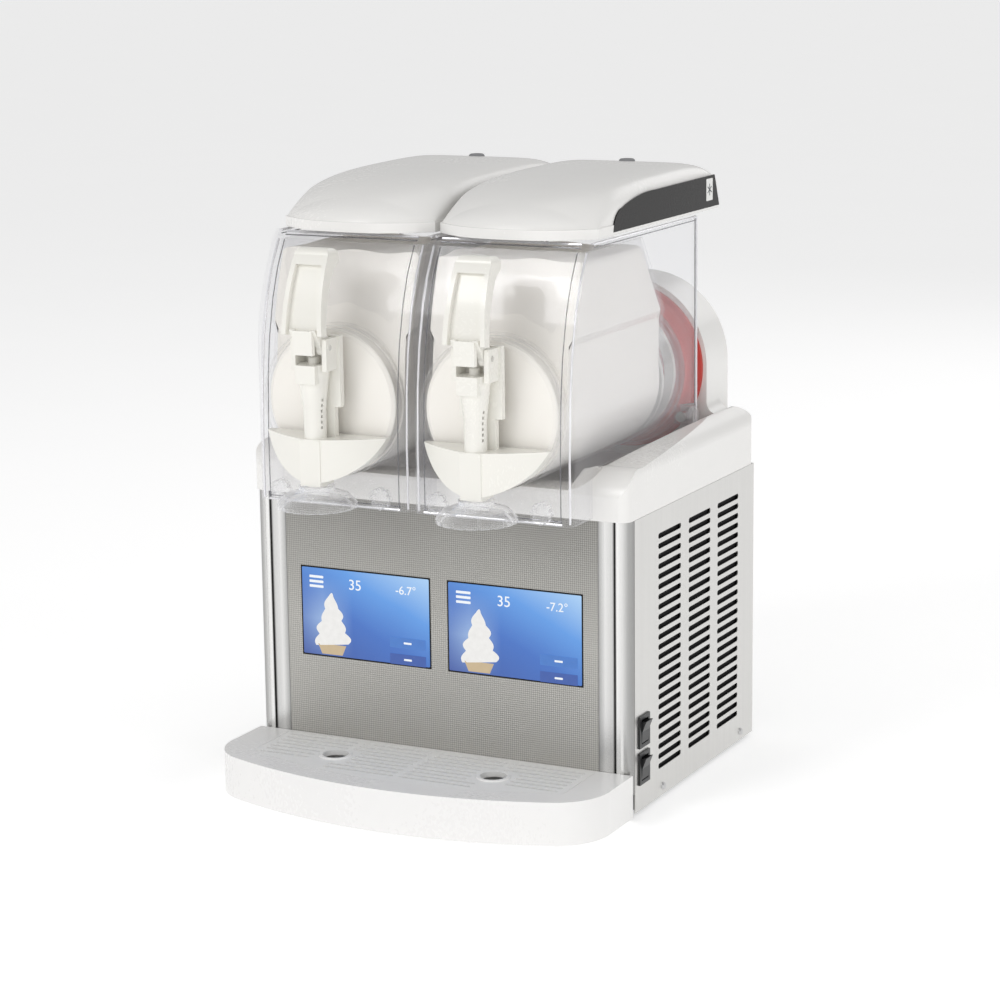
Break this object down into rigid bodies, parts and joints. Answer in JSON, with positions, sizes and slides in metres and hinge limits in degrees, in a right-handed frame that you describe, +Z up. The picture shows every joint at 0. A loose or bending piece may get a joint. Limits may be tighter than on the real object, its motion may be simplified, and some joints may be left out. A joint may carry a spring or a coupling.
{
  "type": "twin-bowl frozen drink dispenser",
  "caption": "Countertop frozen-cream and slush machine with clear twin bowls, scraper augers on chilled drums, lever taps, lids, touch displays and a drip tray.",
  "frame": {"origin": "under the middle of the machine, on the surface the feet stand on", "axes": "+X to the machine's right as seen from the front, +Y to its back, +Z up"},
  "size_m": [0.4342, 0.472, 0.634],
  "materials": {
    "white_shell": "moulded, satin gloss",
    "ivory_tap": "moulded, satin",
    "clear_bowl": "clear, polished",
    "stainless_panel": "fine brushed",
    "stainless_post": "bright brushed",
    "front_sheet": "embossed linen pattern, satin",
    "screen_glass": "lit display behind glass",
    "dark_trim": "gloss",
    "black_switch": "fine grain",
    "red_seal": "soft matte silicone",
    "grey_seal": "matte",
    "drum_steel": "polished",
    "shaft_steel": "ground",
    "auger_plastic": "food grade",
    "motor_paint": "satin",
    "black_paint": "satin",
    "zinc_sheet": "dull",
    "fin_aluminium": "thin fins",
    "copper": "drawn tube",
    "board_green": "lacquered",
    "black_rubber": "matte",
    "spring_steel": "drawn wire",
    "screw_steel": "bright"
  },
  "bodies": {
    "base": {"base_pan": "zinc_sheet", "feet": "black_rubber", "corner_posts": "stainless_post", "front_panel": "front_sheet", "rear_grille": "stainless_panel", "panel_screws": "screw_steel", "switch_frames": "black_switch", "control_board": "board_green", "cord_gland": "black_switch", "deck": "white_shell", "tower_back_cover": "white_shell", "bowl_pins": "white_shell", "compressor": "black_paint", "condenser": "fin_aluminium", "fan_shroud": "black_paint", "filter_drier": "copper", "refrigerant_pipes": "copper", "side_panel_l": "stainless_panel", "display_l": "screen_glass", "evaporator_l": "drum_steel", "gasket_l": "red_seal", "shaft_seal_l": "grey_seal", "gearmotor_l": "motor_paint", "side_panel_r": "stainless_panel", "display_r": "screen_glass", "evaporator_r": "drum_steel", "gasket_r": "red_seal", "shaft_seal_r": "grey_seal", "gearmotor_r": "motor_paint"},
    "fan": {"fan_rotor": "black_switch"},
    "rocker_upper": {"rocker_upper": "black_switch"},
    "rocker_lower": {"rocker_lower": "black_switch"},
    "tray": {"drip_tray": "white_shell"},
    "grid": {"drip_grid": "white_shell"},
    "bowl_l": {"bowl_shell_l": "clear_bowl", "tank_l": "clear_bowl", "tap_body_l": "ivory_tap", "pivot_pins_l": "shaft_steel", "tap_spring_l": "spring_steel", "nozzle_l": "clear_bowl", "skirt_knobs_l": "clear_bowl"},
    "auger_l": {"auger_l": "auger_plastic", "drive_shaft_l": "shaft_steel"},
    "handle_l": {"tap_handle_l": "ivory_tap"},
    "piston_l": {"tap_piston_l": "ivory_tap"},
    "lid_l": {"lid_l": "white_shell", "lid_side_trims_l": "dark_trim"},
    "bowl_r": {"bowl_shell_r": "clear_bowl", "tank_r": "clear_bowl", "tap_body_r": "ivory_tap", "pivot_pins_r": "shaft_steel", "tap_spring_r": "spring_steel", "nozzle_r": "clear_bowl", "skirt_knobs_r": "clear_bowl"},
    "auger_r": {"auger_r": "auger_plastic", "drive_shaft_r": "shaft_steel"},
    "handle_r": {"tap_handle_r": "ivory_tap"},
    "piston_r": {"tap_piston_r": "ivory_tap"},
    "lid_r": {"lid_r": "white_shell", "lid_side_trims_r": "dark_trim"}
  },
  "joints": [
    {"name": "bowl_l_pull", "type": "slide", "parent": "base", "child": "bowl_l", "axis": [0, -1, 0], "range_m": [0, 0.3]},
    {"name": "auger_l_turn", "type": "hinge", "parent": "base", "child": "auger_l", "pos_m": [-0.0886, 0, 0.412], "axis": [0, 1, 0], "continuous": true},
    {"name": "tap_l_pull", "type": "hinge", "parent": "bowl_l", "child": "handle_l", "pos_m": [-0.0886, -0.181, 0.472], "axis": [1, 0, 0], "range_deg": [0, 35], "stiffness_Nm_per_rad": 0.6, "springref_deg": -20.05},
    {"name": "piston_l_lift", "type": "slide", "parent": "bowl_l", "child": "piston_l", "axis": [0, 0, 1], "range_m": [0, 0.012], "deforming": ["tap_spring_l"]},
    {"name": "lid_l_lift", "type": "slide", "parent": "bowl_l", "child": "lid_l", "axis": [0, 0, 1], "range_m": [0, 0.12]},
    {"name": "bowl_r_pull", "type": "slide", "parent": "base", "child": "bowl_r", "axis": [0, -1, 0], "range_m": [0, 0.3]},
    {"name": "auger_r_turn", "type": "hinge", "parent": "base", "child": "auger_r", "pos_m": [0.0886, 0, 0.412], "axis": [0, 1, 0], "continuous": true},
    {"name": "tap_r_pull", "type": "hinge", "parent": "bowl_r", "child": "handle_r", "pos_m": [0.0886, -0.181, 0.472], "axis": [1, 0, 0], "range_deg": [0, 35], "stiffness_Nm_per_rad": 0.6, "springref_deg": -20.05},
    {"name": "piston_r_lift", "type": "slide", "parent": "bowl_r", "child": "piston_r", "axis": [0, 0, 1], "range_m": [0, 0.012], "deforming": ["tap_spring_r"]},
    {"name": "lid_r_lift", "type": "slide", "parent": "bowl_r", "child": "lid_r", "axis": [0, 0, 1], "range_m": [0, 0.12]},
    {"name": "fan_turn", "type": "hinge", "parent": "base", "child": "fan", "pos_m": [-0.15, 0.08, 0.15], "axis": [1, 0, 0], "continuous": true},
    {"name": "rocker_upper_tip", "type": "hinge", "parent": "base", "child": "rocker_upper", "pos_m": [0.2095, -0.0625, 0.0855], "axis": [0, 1, 0], "range_deg": [-12.5, 0]},
    {"name": "rocker_lower_tip", "type": "hinge", "parent": "base", "child": "rocker_lower", "pos_m": [0.2095, -0.0625, 0.0475], "axis": [0, 1, 0], "range_deg": [-12.5, 0]},
    {"name": "tray_pull", "type": "slide", "parent": "base", "child": "tray", "axis": [0, -1, 0], "range_m": [0, 0.12]},
    {"name": "grid_lift", "type": "slide", "parent": "tray", "child": "grid", "axis": [0, 0, 1], "range_m": [0, 0.06]}
  ],
  "couplings": [
    {"joint": "piston_l_lift", "follows": "tap_l_pull", "m_per_rad": 0.019},
    {"joint": "piston_r_lift", "follows": "tap_r_pull", "m_per_rad": 0.019}
  ]
}
